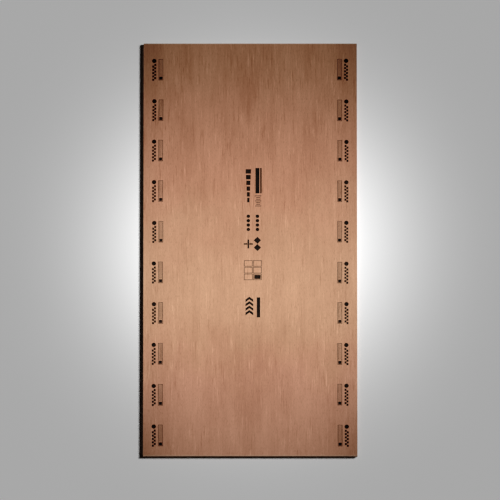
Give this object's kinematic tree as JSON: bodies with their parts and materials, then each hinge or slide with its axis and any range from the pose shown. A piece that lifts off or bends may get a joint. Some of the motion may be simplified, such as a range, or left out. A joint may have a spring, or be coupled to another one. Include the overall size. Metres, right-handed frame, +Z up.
{
  "type": "plywood sheet",
  "caption": "Flat rectangular sheet of hardwood plywood with square sawn edges and a red-brown face veneer, raw stock to be cut, fixed and joined.",
  "frame": {"origin": "middle of the underside, on the floor that the sheet lies on", "axes": "+Z up out of the face, +Y along the sheet's length and its face grain, +X across the width"},
  "size_m": [1.22, 2.44, 0.019],
  "materials": {
    "face_veneer": "matte",
    "stamp_ink": "matte"
  },
  "bodies": {
    "root": {"plywood_sheet": "face_veneer"}
  },
  "joints": []
}
